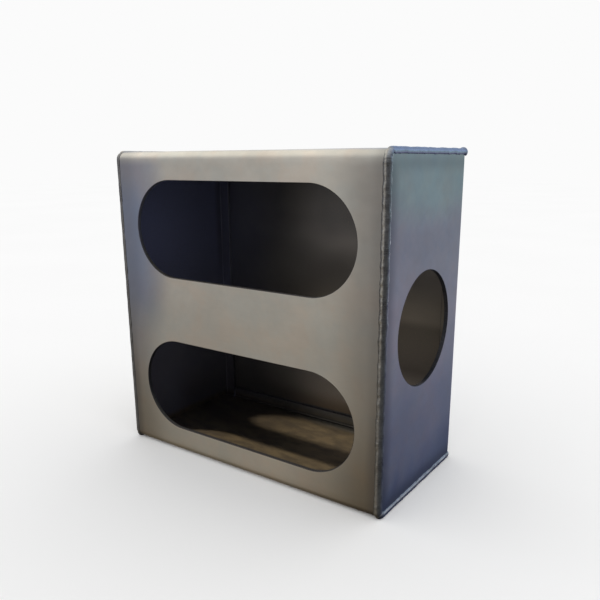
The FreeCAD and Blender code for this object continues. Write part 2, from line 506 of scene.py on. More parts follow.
def painted_light_on_walls(n, base, place):
    """Painted light on the inner walls: a painted blue reflection at the left end, painted rows of
    light and shade up the rest of the walls, and painted shade at the upper right.
    """
    x, y, z = n.parts(place)
    # Painted blue reflection, weaker on the back plate.
    painted_blue_inside = n.product(n.span(x, -30 * MM, -90 * MM), n.span(z, 50 * MM, 150 * MM, 0.3, 1.0))
    painted_blue_inside = n.product(painted_blue_inside, n.span(y, HALF_DEPTH, -HALF_DEPTH, 0.55, 1.0))
    off_back_plate = n.span(y, HALF_DEPTH - SHEET / 2, HALF_DEPTH - SHEET / 4, 1.0, 0.3)
    base = n.mix(n.product(painted_blue_inside, off_back_plate), base, (0.22, 0.25, 0.46))
    # Painted light and shade by height: a painted glow low down, a dark row in the middle, a lighter
    # row above it and darker again near the top.
    bands = n.ramp(n.math("DIVIDE", z, HEIGHT), [
        (0.050, (0.125, 0.125, 0.125)),
        (0.058, (0.165, 0.130, 0.100)),
        (0.13, (0.33, 0.29, 0.255)),
        (0.20, (0.29, 0.26, 0.24)),
        (0.28, (0.080, 0.071, 0.064)),
        (0.42, (0.074, 0.066, 0.058)),
        (0.46, (0.132, 0.119, 0.104)),
        (0.60, (0.195, 0.180, 0.168)),
        (0.70, (0.165, 0.155, 0.150)),
        (0.78, (0.096, 0.092, 0.093)),
    ])
    base = n.mix(n.span(x, -80 * MM, 0.0), base, bands)
    # Painted shade at the upper right of the back plate.
    painted_shade_upper_right = n.product(n.span(x, -25 * MM, 5 * MM), n.span(z, 144 * MM, 158 * MM, 0.0, 0.5))
    return n.mix(painted_shade_upper_right, base, (0.045, 0.045, 0.050))


def rust_and_painted_light_on_floor(n, base, place):
    """Rusty streaks on the floor, with painted light by the back lip and painted shade at the lip's
    foot and to the left.
    """
    x, y, z = n.parts(place)
    streak = n.noise(n.stretch(place, (70.0, 170.0, 100.0)), 1.0, 4.0, 0.65)
    rust = n.ramp(streak, [(0.35, (0.075, 0.062, 0.047)), (0.65, (0.15, 0.12, 0.08))])
    base = n.mix(n.span(z, 10 * MM, 4 * MM, 0.0, 0.85), base, rust)

    # Painted light on the floor by the back lip.
    painted_light_by_lip = n.product(n.span(y, HALF_DEPTH - 15 * MM, HALF_DEPTH - 8 * MM), n.span(z, 6 * MM, 3 * MM))
    painted_light_by_lip = n.product(painted_light_by_lip, n.span(x, -40 * MM, 30 * MM))
    base = n.mix(painted_light_by_lip, base, (0.24, 0.235, 0.215))

    # Painted shade in the crease at the lip's foot.
    painted_shade_at_foot = n.span(y, HALF_DEPTH - 5 * MM, HALF_DEPTH - 4.2 * MM, 0.0, 0.85)
    painted_shade_at_foot = n.product(painted_shade_at_foot, n.span(z, 5.5 * MM, 4.5 * MM))
    base = n.mix(painted_shade_at_foot, base, (0.045, 0.042, 0.038))

    # Painted shade on the floor to the left.
    far_left = n.product(n.span(x, 10 * MM, -45 * MM), n.span(y, -20 * MM, 10 * MM))
    far_left = n.product(far_left, n.span(z, 50 * MM, 12 * MM, 0.0, 0.55))
    return n.mix(far_left, base, (0.03, 0.028, 0.03))


def painted_shade_in_left_corner(n, base, place):
    """Painted shade on the left lip and its bend: navy like the painted blue reflection beside them,
    and darker over the bend's highlight.
    """
    x, y, z = n.parts(place)
    on_lip = n.product(n.span(x, -85 * MM, -97 * MM), n.span(y, 42 * MM, 48 * MM))
    on_lip = n.product(on_lip, n.span(z, 90 * MM, 140 * MM, 0.0, 0.7))
    base = n.mix(on_lip, base, (0.105, 0.108, 0.145))
    painted_shade_in_bend = n.product(n.span(x, -102.5 * MM, -104 * MM), n.span(y, 48.5 * MM, 49.5 * MM, 0.0, 0.22))
    return n.mix(painted_shade_in_bend, base, (0.055, 0.057, 0.075))


def steel_inside():
    """The sheet's inner face: dark mill scale, with dust that scatters light, and painted light and
    shade on the walls, floor and left corner.
    """
    material, n = new_material("mill_scale_inside")
    place = n.place()
    cloud = n.noise(place, 18.0, 4.0, 0.6)
    speckle = n.noise(place, 900.0, 3.0, 0.6)
    base = n.ramp(cloud, [(0.3, (0.085, 0.080, 0.075)), (0.7, (0.12, 0.112, 0.10))])
    base = painted_light_on_walls(n, base, place)
    base = rust_and_painted_light_on_floor(n, base, place)
    base = painted_shade_in_left_corner(n, base, place)
    base = n.mix(n.span(speckle, 0.5, 0.8, 0.0, 0.3), base, (0.16, 0.12, 0.08))
    rough = n.span(cloud, 0.25, 0.75, 0.27, 0.37)
    n.surface(base, rough, 0.75, n.bump(speckle, 0.12, 0.02 * MM))
    return material


def steel_cut_edge():
    """Laser-cut edge: darker, with fine striations, and a lighter painted blue reflection on the left
    lip and upper left rim.
    """
    material, n = new_material("cut_edge")
    place = n.place()
    lines = n.noise(place, 1500.0, 2.0, 0.5)
    base = n.ramp(lines, [(0.3, (0.032, 0.033, 0.040)), (0.7, (0.062, 0.064, 0.075))])
    x, y, z = n.parts(place)
    left = n.span(x, -HALF_WIDTH * 0.4, -HALF_WIDTH * 0.75)
    on_lip = n.product(n.span(y, 0.0, HALF_DEPTH / 2), n.span(z, MID_HEIGHT / 2, HEIGHT * 0.6))
    upper_rim = n.span(z, OVAL_HEIGHTS[1] - 25 * MM, OVAL_HEIGHTS[1])
    upper_rim = n.product(n.span(y, 0.0, -HALF_DEPTH / 2), upper_rim)
    # Painted blue reflection on the left lip's edge and the upper left rim.
    base = n.mix(n.product(left, on_lip), base, (0.17, 0.175, 0.225))
    base = n.mix(n.product(left, upper_rim), base, (0.14, 0.145, 0.19))
    n.surface(base, 0.5, 0.8, n.bump(lines, 0.3, 0.05 * MM))
    return material


def bead_tints_and_painted_light(n, base, place, low_front):
    """Darker beads at the left end, a painted reflection on the top beads, and a greyer foot to the
    front beads.
    """
    x, y, z = n.parts(place)
    behind_bend = n.span(y, -HALF_DEPTH + 2 * MM, -HALF_DEPTH + 5 * MM)
    on_top = n.product(n.span(z, HEIGHT - 5 * MM, HEIGHT - 3 * MM), behind_bend)
    left_end = n.product(n.span(x, 0.0, -50 * MM), n.rest_of(on_top))
    base = n.mix(n.product(left_end, 0.6), base, (0.09, 0.095, 0.12))
    # Painted reflection on the top beads: on the right light blue on the end's side and dark blue over
    # the top, on the left pale beige like the bend's highlight.
    up_side = n.span(z, HEIGHT - 2 * MM, HEIGHT + 0.3 * MM)
    right_top = n.mix(up_side, (0.62, 0.66, 0.74), (0.15, 0.175, 0.225))
    painted_top_reflection = n.mix(n.span(x, -50 * MM, 50 * MM), (0.40, 0.375, 0.34), right_top)
    base = n.mix(n.product(on_top, 0.8), base, painted_top_reflection)
    return n.mix(n.product(low_front, 0.30), base, (0.19, 0.20, 0.205))


def weld_metal():
    """As-welded bead: dark grey oxide, with painted highlights on one toe and on the ripples' crests,
    and painted shade in the crease along the other toe.
    """
    material, n = new_material("weld_metal")
    place = n.place()
    x, y, z = n.parts(place)
    toe = n.attribute("toe")
    cloud = n.noise(place, 160.0, 4.0, 0.6)
    grit = n.noise(place, 620.0, 3.0, 0.65)
    speckle = n.noise(place, 1500.0, 3.0, 0.6)
    on_front = n.span(y, -HALF_DEPTH + 6 * MM, -HALF_DEPTH + 4 * MM)
    low_front = n.product(on_front, n.span(z, HEIGHT * 0.6, HEIGHT * 0.35))

    base = n.ramp(cloud, [(0.3, (0.22, 0.22, 0.225)), (0.7, (0.37, 0.37, 0.37))])
    base = n.mix(n.span(grit, 0.42, 0.68, 0.0, 0.6), base, (0.46, 0.465, 0.45))
    # Painted highlight on the ripples' crests.
    base = n.mix(n.span(n.attribute("crest"), 0.45, 1.0, 0.0, 0.25), base, (0.48, 0.48, 0.48))
    base = bead_tints_and_painted_light(n, base, place, low_front)

    # Painted highlight along the toe, patchy, weaker low down and on the foot of the front beads.
    patchy = n.product(n.span(cloud, 0.35, 0.6, 0.5, 1.0), n.span(z, 40 * MM, 200 * MM, 0.6, 1.0))
    patchy = n.product(patchy, n.span(low_front, 0.0, 1.0, 1.0, 0.15))
    painted_toe_highlight = n.product(n.span(toe, 0.15, 0.75), patchy)
    base = n.mix(painted_toe_highlight, base, (0.80, 0.80, 0.81))
    # Painted shade in the crease along the other toe.
    base = n.mix(n.span(toe, -0.1, -0.8, 0.0, 0.6), base, (0.06, 0.058, 0.056))
    base = n.mix(n.span(speckle, 0.55, 0.8, 0.0, 0.45), base, (0.06, 0.06, 0.06))

    rough = n.math("ADD", n.span(cloud, 0.3, 0.7, 0.26, 0.38), n.product(low_front, 0.12))
    metallic = n.span(painted_toe_highlight, 0.0, 1.0, 1.0, 0.5)
    height = n.math("ADD", n.product(speckle, 0.5), grit)
    n.surface(base, rough, metallic, n.bump(height, 0.35, 0.10 * MM))
    return material


# The sheets' materials, in the order of OUTER, INNER and CUT.
SHEET_MATERIALS = [steel_outside(), steel_inside(), steel_cut_edge()]
WELD = weld_metal()

# ---------------------------------------------------------------------------------------
# Sheets
# ---------------------------------------------------------------------------------------

# Lengths along the wrap's outer face, measured each way from the front's mid height.
FRONT_FLAT = MID_HEIGHT - FRONT_BEND
BEND_LENGTH = FRONT_BEND * math.pi / 2
TOP_START = FRONT_FLAT + BEND_LENGTH
LIP_BEND_LENGTH = LIP_BEND * math.pi / 2
TAB_END = TOP_START + 2 * HALF_DEPTH - FRONT_BEND
LIP_BEND_START = TAB_END - LIP_BEND
RELIEF_START = LIP_BEND_START - BEND_RELIEF
LIP_FLAT_START = LIP_BEND_START + LIP_BEND_LENGTH
LIP_END = LIP_FLAT_START + LIP_WIDTH - LIP_BEND
LIP_HALF = LIP_EDGE - BEND_RELIEF


def around_bend(angle, radius, centre, start_normal, end_normal):
    """Place and normal on a bend's outer face, turned by angle from its start."""
    normal = start_normal * math.cos(angle) + end_normal * math.sin(angle)
    return centre + normal * radius, normal


def fold_wrap(u, v):
    """Wrap's flat pattern to its folded shape: u along X, v up the front and over."""
    side = 1.0 if v >= 0 else -1.0
    along = abs(v)
    front = Vector((0, -1, 0))
    over = Vector((0, 0, side))
    level = MID_HEIGHT + side * MID_HEIGHT
    if along <= FRONT_FLAT:
        return Vector((u, -HALF_DEPTH, MID_HEIGHT + v)), front
    if along <= TOP_START:
        centre = Vector((u, -HALF_DEPTH + FRONT_BEND, level - side * FRONT_BEND))
        return around_bend((along - FRONT_FLAT) / FRONT_BEND, FRONT_BEND, centre, front, over)
    has_lip = abs(u) <= LIP_HALF + MERGE
    if along <= LIP_BEND_START or not has_lip:
        return Vector((u, -HALF_DEPTH + FRONT_BEND + along - TOP_START, level)), over
    back = Vector((0, 1, 0))
    if along <= LIP_FLAT_START:
        centre = Vector((u, HALF_DEPTH - LIP_BEND, level - side * LIP_BEND))
        return around_bend((along - LIP_BEND_START) / LIP_BEND, LIP_BEND, centre, over, back)
    reach = LIP_BEND + along - LIP_FLAT_START
    return Vector((u, HALF_DEPTH, level - side * reach)), back


def make_front_wrap():
    """Front, top and bottom in one sheet, with the oval cut-outs and the back lips."""
    flat = FlatPattern()
    across = joined(
        steps(-WRAP_END, -LIP_EDGE, CELL),
        [-LIP_EDGE, -LIP_HALF],
        steps(-LIP_HALF, LIP_HALF, CELL),
        [LIP_HALF, LIP_EDGE],
        steps(LIP_EDGE, WRAP_END, CELL),
    )
    lip_across = [u for u in across if abs(u) <= LIP_HALF + MERGE]
    tabs = [
        [u for u in across if u <= -LIP_EDGE + MERGE],
        [u for u in across if u >= LIP_EDGE - MERGE],
    ]
    lip = joined(
        [RELIEF_START, LIP_BEND_START],
        bend_steps(LIP_BEND_START, LIP_BEND_LENGTH),
        steps(LIP_FLAT_START, LIP_END, CELL),
    )
    strips = [
        (across, bend_steps(FRONT_FLAT, BEND_LENGTH)),
        (across, steps(TOP_START, RELIEF_START, CELL)),
        (lip_across, lip),
    ]
    strips += [(tab, steps(RELIEF_START, TAB_END, CELL)) for tab in tabs]
    for side, height in zip((-1, 1), OVAL_HEIGHTS):
        low, high = sorted((0.0, side * FRONT_FLAT))
        centre = (0.0, height - MID_HEIGHT)
        flat.cut_cell(across, steps(low, high, CELL), centre, OVAL_STRAIGHT, OVAL_RADIUS)
        for us, vs in strips:
            flat.grid(us, sorted(side * v for v in vs))
    piece = fold_sheet("front_wrap_sheet", flat, fold_wrap, lambda place: HALF_WIDTH - abs(place.x))
    place_piece(piece, "front_wrap")


# The end plates get less of the seam tint and painted shade, so distances to their seams count
# for more: the front seam's by the first factor and the top and bottom seams' by the second.
FRONT_SEAM_STRETCH = 2.8
FLAT_SEAM_STRETCH = 2.6

# Places along an end plate's outer face, from its front edge to its lip's edge.
PLATE_FRONT = plate_low.y
PLATE_BEND_START = HALF_DEPTH - LIP_BEND
PLATE_LIP_START = PLATE_BEND_START + LIP_BEND_LENGTH
PLATE_LIP_END = PLATE_LIP_START + LIP_WIDTH - LIP_BEND


def fold_end_plate(side):
    """Folding of an end plate: u runs back along Y and round into the lip, v is the height."""

    def fold(u, v):
        out = Vector((side, 0, 0))
        back = Vector((0, 1, 0))
        if u <= PLATE_BEND_START:
            return Vector((side * HALF_WIDTH, u, v)), out
        if u <= PLATE_LIP_START:
            centre = Vector((side * (HALF_WIDTH - LIP_BEND), HALF_DEPTH - LIP_BEND, v))
            return around_bend((u - PLATE_BEND_START) / LIP_BEND, LIP_BEND, centre, out, back)
        reach = LIP_BEND + u - PLATE_LIP_START
        return Vector((side * (HALF_WIDTH - reach), HALF_DEPTH, v)), back

    return fold


def plate_seam_distance(place):
    """Distance from an end plate's point to its seams, lengthened as the seam tint and painted shade
    need.
    """
    to_front_seam = FRONT_SEAM_STRETCH * (place.y + HALF_DEPTH)
    return min(to_front_seam, FLAT_SEAM_STRETCH * min(place.z, HEIGHT - place.z))


def make_end_plate(word, side, with_hole):
    """End plate with its back lip. The hole lies in the square in the plate's middle."""
    flat = FlatPattern()
    across = steps(PLATE_FRONT, PLATE_BEND_START, CELL)
    lip = joined(
        bend_steps(PLATE_BEND_START, LIP_BEND_LENGTH),
        steps(PLATE_LIP_START, PLATE_LIP_END, CELL),
    )
    reach = (PLATE_BEND_START - PLATE_FRONT) / 2
    below = steps(plate_low.z, MID_HEIGHT - reach, CELL)
    middle = steps(MID_HEIGHT - reach, MID_HEIGHT + reach, CELL)
    above = steps(MID_HEIGHT + reach, plate_high.z, CELL)
    if with_hole:
        flat.grid(across, below)
        flat.cut_cell(across, middle, (0.0, MID_HEIGHT), 0.0, HOLE_RADIUS)
        flat.grid(across, above)
    else:
        flat.grid(across, joined(below, middle, above))
    flat.grid(lip, joined(below, middle, above))
    fold = fold_end_plate(side)
    piece = fold_sheet(f"{word}_end_sheet", flat, fold, plate_seam_distance, mirrored=side < 0)
    place_piece(piece, f"{word}_end_plate")


def back_plate_steps(low, high):
    """Values across the back plate, closer together at its corners."""
    corner = steps(0, BACK_CORNER, BACK_CORNER / CORNER_STEPS)
    return joined(
        [low + step for step in corner],
        steps(low + BACK_CORNER, high - BACK_CORNER, 2 * CELL),
        [high - BACK_CORNER + step for step in corner],
    )


def make_back_plate():
    """Flat plate with rounded corners, over the lips."""
    flat = FlatPattern()
    half_wide = back_high.x
    low, high = back_low.z, back_high.z
    flat.grid(back_plate_steps(-half_wide, half_wide), back_plate_steps(low, high))
    middle = Vector((0, 0, (low + high) / 2))
    straight = Vector((half_wide - BACK_CORNER, 0, (high - low) / 2 - BACK_CORNER))

    def fold(u, v):
        """Squeezes the square corners of the grid into round ones."""
        x, z = -u, v - middle.z
        over_x = max(0.0, abs(x) - straight.x)
        over_z = max(0.0, abs(z) - straight.z)
        if over_x > 0 and over_z > 0:
            square = max(over_x, over_z)
            shrink = square / math.hypot(over_x, over_z)
            x = math.copysign(straight.x + over_x * shrink, x)
            z = math.copysign(straight.z + over_z * shrink, z)
        return Vector((x, back_high.y, middle.z + z)), Vector((0, 1, 0))

    piece = fold_sheet("back_cover_sheet", flat, fold, lambda place: FAR_FROM_SEAMS)
    place_piece(piece, "back_plate")


# ---------------------------------------------------------------------------------------
# Welds
# ---------------------------------------------------------------------------------------

# Spacing of the sections along a bead, points in a section, and how far a section goes on under
# each face, as an angle.
STATION = 0.4 * MM
SECTION_POINTS = 26
TOE_DIP = 0.32

# The ripples left by the weld pool. They lag at the toes, which makes them crescents. The level
# is the share of a ripple's height that lies below the bead's own surface.
RIPPLE_PITCH = 1.25 * MM
RIPPLE_LAG = 1.6 * MM
RIPPLE_DEPTH = 0.05 * MM
RIPPLE_SHARPNESS = 0.7
RIPPLE_LEVEL = 0.6

# A bead's unevenness: how strong it is, the length over which it changes, how fast it changes
# across the bead, and how much of it reaches the crown. Drift shifts the ripples, in ripples.
DRIFT = 0.9
DRIFT_LENGTH = 5 * MM
DRIFT_SEED = 0.3
SWELL = 0.06
SWELL_LENGTH = 9 * MM
SWELL_SEED = 4.1
ROUGH = 0.05
ROUGH_LENGTH = 1.6 * MM
ROUGH_ACROSS = 4.5
ROUGH_AT_CROWN = 0.3
LUMP = 0.13
LUMP_LENGTH = 4.2 * MM
LUMP_ACROSS = 2.6
LUMP_AT_CROWN = 0.35
LUMP_SEED = 11

# Rounded ends of the beads, and the blob where the right top bead's arc was stopped.
END_REACH = 3.0 * MM
END_SIZE = 0.06
BLOB_BACK = 2.6 * MM
BLOB_LENGTH = 2.0 * MM

# Middle and half width of the toes' painted highlight band and painted shade band, from 0 at the crown
# to 1 at a toe.
PAINTED_HIGHLIGHT_BAND = (0.66, 0.16)
PAINTED_SHADE_BAND = (0.82, 0.18)

# Lengths along the wrap's end outline, from the bottom's back edge round to the top's.
SIDE_RUN = 2 * HALF_DEPTH - FRONT_BEND
FRONT_RUN = HEIGHT - 2 * FRONT_BEND
BOTTOM_BEND_START = SIDE_RUN
FRONT_START = SIDE_RUN + BEND_LENGTH
TOP_BEND_START = FRONT_START + FRONT_RUN
TOP_RUN_START = TOP_BEND_START + BEND_LENGTH
SEAM_END = TOP_RUN_START + SIDE_RUN

# Where the beads start and end. They overlap in the bends, and the top bead runs on a little.
FRONT_BEAD = (BOTTOM_BEND_START + BEND_LENGTH * 0.3, TOP_BEND_START + BEND_LENGTH * 0.95)
BOTTOM_BEAD = (0.0, BOTTOM_BEND_START + BEND_LENGTH * 0.8)
TOP_BEAD = (TOP_BEND_START + BEND_LENGTH * 0.55, SEAM_END + 1.6 * MM)


def seam_place(s):
    """Point and outward normal on the wrap's end outline, s along it from the bottom's back edge."""
    down, front, up = Vector((0, 0, -1)), Vector((0, -1, 0)), Vector((0, 0, 1))
    if s <= BOTTOM_BEND_START:
        return Vector((0, HALF_DEPTH - s, 0)), down
    if s <= FRONT_START:
        centre = Vector((0, -HALF_DEPTH + FRONT_BEND, FRONT_BEND))
        return around_bend((s - BOTTOM_BEND_START) / FRONT_BEND, FRONT_BEND, centre, down, front)
    if s <= TOP_BEND_START:
        return Vector((0, -HALF_DEPTH, FRONT_BEND + s - FRONT_START)), front
    if s <= TOP_RUN_START:
        centre = Vector((0, -HALF_DEPTH + FRONT_BEND, HEIGHT - FRONT_BEND))
        return around_bend((s - TOP_BEND_START) / FRONT_BEND, FRONT_BEND, centre, front, up)
    return Vector((0, -HALF_DEPTH + FRONT_BEND + s - TOP_RUN_START, HEIGHT)), up


def dome(distance, reach):
    """Share of full size near a bead's rounded end."""
    if distance >= reach:
        return 1.0
    short = 1.0 - max(distance, 0.0) / reach
    return max(END_SIZE, math.sqrt(max(0.0, 1.0 - short * short)))


def ripple(s, crown, drift=0.0):
    """Height within a ripple, from 0 to 1. crown is 1 at the bead's middle and 0 at its toes."""
    phase = (s + RIPPLE_LAG * (1 - crown)) / RIPPLE_PITCH + drift
    return abs(math.sin(math.pi * phase)) ** RIPPLE_SHARPNESS


def ripple_height(wave, crown):
    """How far a ripple stands out of the bead's own surface."""
    return RIPPLE_DEPTH * (wave - RIPPLE_LEVEL) * crown


def noise_at(*place):
    """Smooth noise, about -1 to 1."""
    return noise.noise(Vector(place))


class BeadShape:
    """One seam's bead: an ellipse about a line just inside the corner, with rough toes.

    The insets are how far that line lies inside the end's face and the wrap's face, and
    the prouds are how far the bead stands out of them. The toes are how strongly each toe gets a
    painted highlight (up to 1) or painted shade in its crease (down to -1). lumps scales the
    unevenness, and blob is how much the bead swells near its far end.
    """

    def __init__(self, insets, prouds, toes, seed, lumps=1.0, blob=0.0):
        self.side_inset, self.wrap_inset = insets
        self.side_radius = self.side_inset + prouds[0]
        self.wrap_radius = self.wrap_inset + prouds[1]
        self.side_toe, self.wrap_toe = toes
        self.seed = seed
        self.lumps = lumps
        self.blob = blob


def section_angles(shape):
    """Angles of the visible arc, from just under the end's face to just under the wrap's face."""
    start = -math.acos(shape.side_inset / shape.side_radius) - TOE_DIP
    end = math.pi / 2 + math.acos(shape.wrap_inset / shape.wrap_radius) + TOE_DIP
    return [start + (end - start) * i / (SECTION_POINTS - 1) for i in range(SECTION_POINTS)]


def edge_share(across):
    """From 0 at the crown to 1 at either toe, at a share of the way across the bead."""
    return abs(across - 0.5) * 2


def toe_mark(shape, across):
    """Painted highlight (positive) or painted shade (negative) on the bead at a share of the way
    across.
    """
    toe = shape.side_toe if across < 0.5 else shape.wrap_toe
    middle, reach = PAINTED_HIGHLIGHT_BAND if toe > 0 else PAINTED_SHADE_BAND
    return toe * max(0.0, 1 - abs(edge_share(across) - middle) / reach)


def bead_section(shape, s, scale, angles):
    """Offsets (outwards from the side, outwards from the wrap), crest and toe marks at s."""
    points, crests, toes = [], [], []
    drift = DRIFT * noise_at(s / DRIFT_LENGTH, shape.seed, DRIFT_SEED)
    swell = 1.0 + SWELL * noise_at(s / SWELL_LENGTH, shape.seed, SWELL_SEED)
    for i, angle in enumerate(angles):
        across = i / (SECTION_POINTS - 1)
        crown = math.sin(math.pi * across)
        edge = edge_share(across)
        rough = ROUGH * noise_at(s / ROUGH_LENGTH, ROUGH_ACROSS * across, shape.seed)
        lumpy = LUMP * noise_at(s / LUMP_LENGTH, LUMP_ACROSS * across, shape.seed + LUMP_SEED)
        unevenness = rough * (ROUGH_AT_CROWN + edge) + lumpy * (LUMP_AT_CROWN + edge)
        size = swell * (1 + shape.lumps * unevenness)
        wave = ripple(s, crown, drift)
        height = ripple_height(wave, crown)
        side_radius = shape.side_radius * size + height
        wrap_radius = shape.wrap_radius * size + height
        side = -shape.side_inset + scale * side_radius * math.cos(angle)
        wrap = -shape.wrap_inset + scale * wrap_radius * math.sin(angle)
        points.append((side, wrap))
        crests.append(wave * crown)
        toes.append(toe_mark(shape, across))
    return points, crests, toes


def tube_faces(first, count, width, flipped):
    """Sides and ends of a tube of count + 1 rings of points, numbered from first on."""
    faces = []
    for k in range(count):
        for i in range(width):
            j = (i + 1) % width
            faces.append([k * width + i, (k + 1) * width + i, (k + 1) * width + j, k * width + j])
    faces.append(list(range(width)))
    faces.append([count * width + i for i in reversed(range(width))])
    if flipped:
        faces = [face[::-1] for face in faces]
    return [[first + i for i in face] for face in faces]


def add_weld(name, node, points, faces, crests, toes):
    """New weld piece, with its crests and toes marked for the weld's material."""
    weld = add_object(name, points, faces, [WELD])
    mark_points(weld, "crest", crests)
    mark_points(weld, "toe", toes)
    place_piece(weld, node)


def make_bead(name, node, side, shape, start, end):
    """Rippled bead along the seam between two places on the wrap's end outline."""
    angles = section_angles(shape)
    count = max(2, math.ceil((end - start) / STATION))
    points, crests, toes = [], [], []
    for k in range(count + 1):
        s = start + (end - start) * k / count
        path, normal = seam_place(s)
        scale = dome(s - start, END_REACH) * dome(end - s, END_REACH)
        scale *= 1.0 + shape.blob * math.exp(-((s - end + BLOB_BACK) / BLOB_LENGTH) ** 2)
        offsets, crest, toe = bead_section(shape, s, scale, angles)
        for out, over in offsets:
            place = path + normal * over
            place.x = side * (HALF_WIDTH + out)
            place.z = max(place.z, 0.0)
            points.append(place)
        crests += crest
        toes += toe
    faces = tube_faces(0, count, SECTION_POINTS, flipped=side < 0)
    add_weld(name, node, points, faces, crests, toes)


def end_beads(right):
    """Shape, start and end of the beads on one end. The left front bead is flatter and smoother."""
    seed = 2.0 if right else 31.0
    if right:
        front = BeadShape(
            insets=(2.1 * MM, 2.0 * MM), prouds=(0.45 * MM, 0.7 * MM), toes=(0.85, -0.8), seed=seed
        )
    else:
        front = BeadShape(
            insets=(2.0 * MM, 2.0 * MM), prouds=(0.6 * MM, 0.25 * MM), toes=(0.0, -0.6), seed=seed,
            lumps=0.5,
        )
    bottom = BeadShape(
        insets=(1.8 * MM, 1.7 * MM), prouds=(0.7 * MM, 1.0 * MM), toes=(0.85, 0.0), seed=seed + 5
    )
    top = BeadShape(
        insets=(2.0 * MM, 1.6 * MM), prouds=(0.35 * MM, 0.8 * MM), toes=(-0.9, 0.0), seed=seed + 9,
        lumps=0.7, blob=0.3 if right else 0.0,
    )
    return {"front": (front, FRONT_BEAD), "bottom": (bottom, BOTTOM_BEAD), "top": (top, TOP_BEAD)}


def make_seam_beads():
    """Three beads on each end: up the front, and along the bottom and the top."""
    for side, word in ((1, "right"), (-1, "left")):
        for seam, (shape, (start, end)) in end_beads(right=side > 0).items():
            node = f"{word}_{seam}_seam_weld"
            make_bead(f"{word}_{seam}_weld_bead", node, side, shape, start, end)


# The back plate's stitches: fillets between the plate's edge and the lips. A section sweeps from
# just under the lips' face to just inside the plate's edge, in degrees.
STITCH_LENGTH = 25 * MM
STITCH_REACH = 2 * MM
STITCH_POINTS = 14
STITCH_START = -8
STITCH_SWEEP = 106

# A stitch's radius and its lumps as shares of its leg, and the share of the whole that is kept,
# so that it stays inside the CAD stitch.
STITCH_FILL = 0.95
STITCH_LUMP = 0.08
STITCH_LUMP_LENGTH = 4 * MM
STITCH_SEED_STEP = 3.3
STITCH_KEPT = 0.95


def stitch_places():
    """Middle, direction along and direction outwards of each stitch, two to an edge."""
    half_plate = back_high.x
    half_tall = (back_high.z - back_low.z) / 2
    places = []
    for edge in (-1, 1):
        for step in (-1, 1):
            upright = Vector((edge * half_plate, HALF_DEPTH, MID_HEIGHT + step * HEIGHT / 4))
            level = Vector((step * HALF_WIDTH / 2, HALF_DEPTH, MID_HEIGHT + edge * half_tall))
            places.append((upright, Vector((0, 0, 1)), Vector((edge, 0, 0))))
            places.append((level, Vector((1, 0, 0)), Vector((0, 0, edge))))
    return places


def make_stitch_beads():
    """Short fillet welds round the back plate, in one piece like the CAD node."""
    leg = stitch_high.y - stitch_low.y
    count = math.ceil(STITCH_LENGTH / STATION)
    points, crests, toes, faces = [], [], [], []
    for index, (middle, along, outward) in enumerate(stitch_places()):
        flipped = along.cross(outward).y >= 0
        faces += tube_faces(len(points), count, STITCH_POINTS, flipped)
        for k in range(count + 1):
            s = STITCH_LENGTH * k / count
            scale = dome(s, STITCH_REACH) * dome(STITCH_LENGTH - s, STITCH_REACH)
            for i in range(STITCH_POINTS):
                share = i / (STITCH_POINTS - 1)
                angle = math.radians(STITCH_START + STITCH_SWEEP * share)
                crown = math.sin(math.pi * share)
                wave = ripple(s, crown)
                lumpy = STITCH_LUMP * noise_at(s / STITCH_LUMP_LENGTH, share, index * STITCH_SEED_STEP)
                radius = leg * (STITCH_FILL + lumpy) + ripple_height(wave, crown)
                offset = outward * math.cos(angle) + Vector((0, math.sin(angle), 0))
                place = middle + along * (s - STITCH_LENGTH / 2)
                points.append(place + offset * radius * scale * STITCH_KEPT)
                crests.append(wave * crown)
                # Painted highlight along both toes of each stitch.
                toes.append(1 - crown)
    add_weld("back_stitch_weld_beads", "back_plate_stitch_welds", points, faces, crests, toes)


make_front_wrap()
make_end_plate("right", 1, with_hole=True)
make_end_plate("left", -1, with_hole=False)
make_back_plate()
make_seam_beads()
make_stitch_beads()

# ---------------------------------------------------------------------------------------
# Studio
# ---------------------------------------------------------------------------------------

# Brightness of the background, and how much brighter the gradient is in the steel.
PALE = 0.965
STEEL_BOOST = 1.6

# The floor: its colour, how much that varies, half its width, and its gap below the box.
FLOOR_ALBEDO = 0.90
FLOOR_VARIATION = 0.005
FLOOR_REACH = 6.0
FLOOR_GAP = 0.1 * MM

# The sun: its strength, its width in the sky, its colour and the way its light travels.
KEY_STRENGTH = 9.6
KEY_WIDTH = math.radians(3.2)
KEY_COLOUR = (1.0, 0.86, 0.62)
KEY_TRAVEL = Vector((0.25, 0.48, -1.0))


